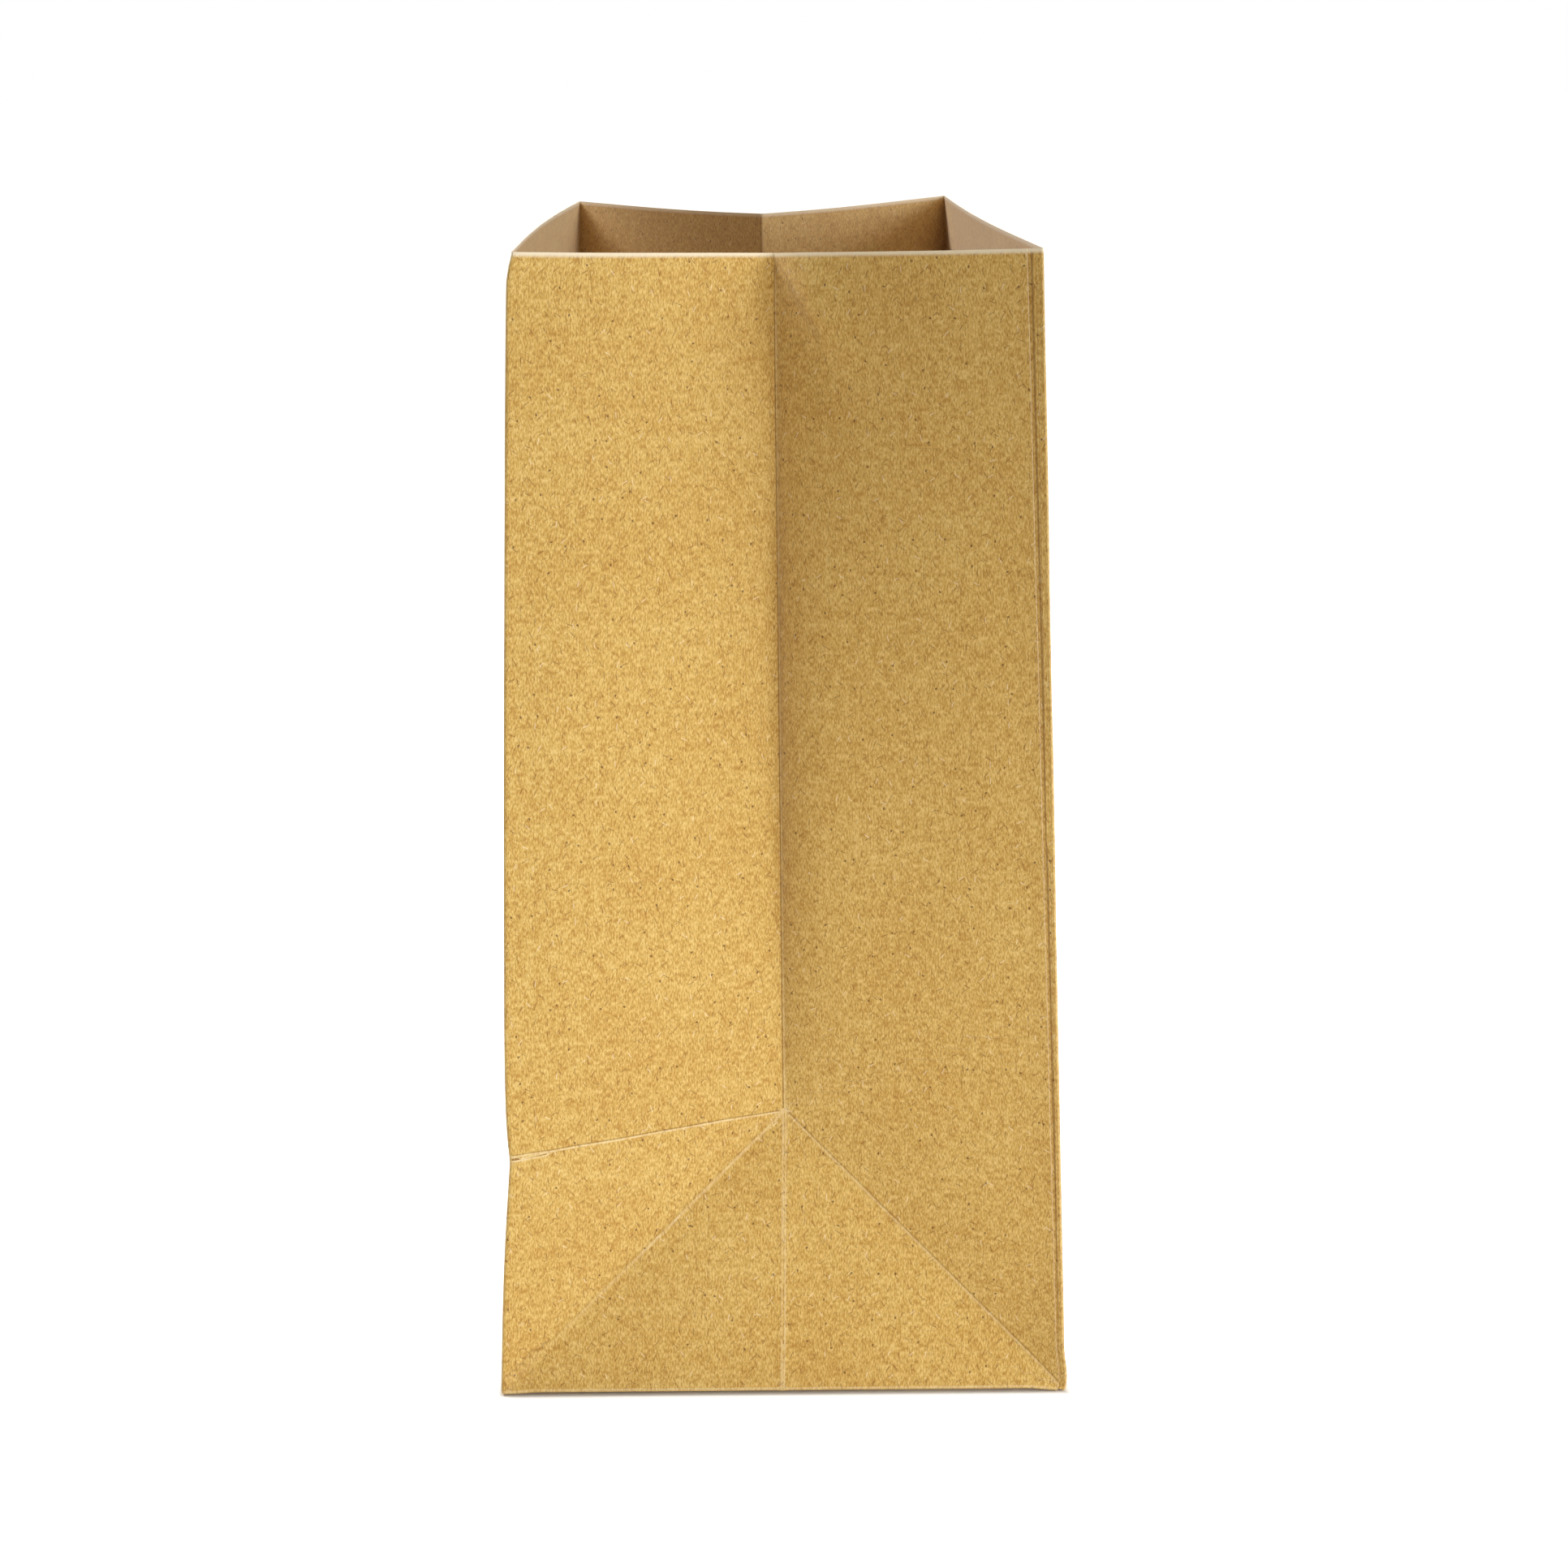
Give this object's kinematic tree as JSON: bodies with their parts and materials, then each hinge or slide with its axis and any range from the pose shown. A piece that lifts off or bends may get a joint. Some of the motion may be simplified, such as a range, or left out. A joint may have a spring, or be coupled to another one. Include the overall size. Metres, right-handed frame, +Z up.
{
  "type": "paper gift bag",
  "caption": "Plain brown kraft paper bag with a flat folded block bottom, side gussets folded in along the middle and an open cut rim.",
  "frame": {"origin": "centre of the bag's base, on the surface that it stands on", "axes": "+Z up through the open mouth; the wide panels face -X and +X, the gussets face -Y and +Y; the lap seam is at the -Y, +X fold and the storage crease crosses the -X panel"},
  "size_m": [0.132, 0.21, 0.2649],
  "materials": {
    "kraft_paper": "matte, unbleached, with fine fibre flecks"
  },
  "bodies": {
    "root": {"paper_bag": "kraft_paper"}
  },
  "joints": []
}
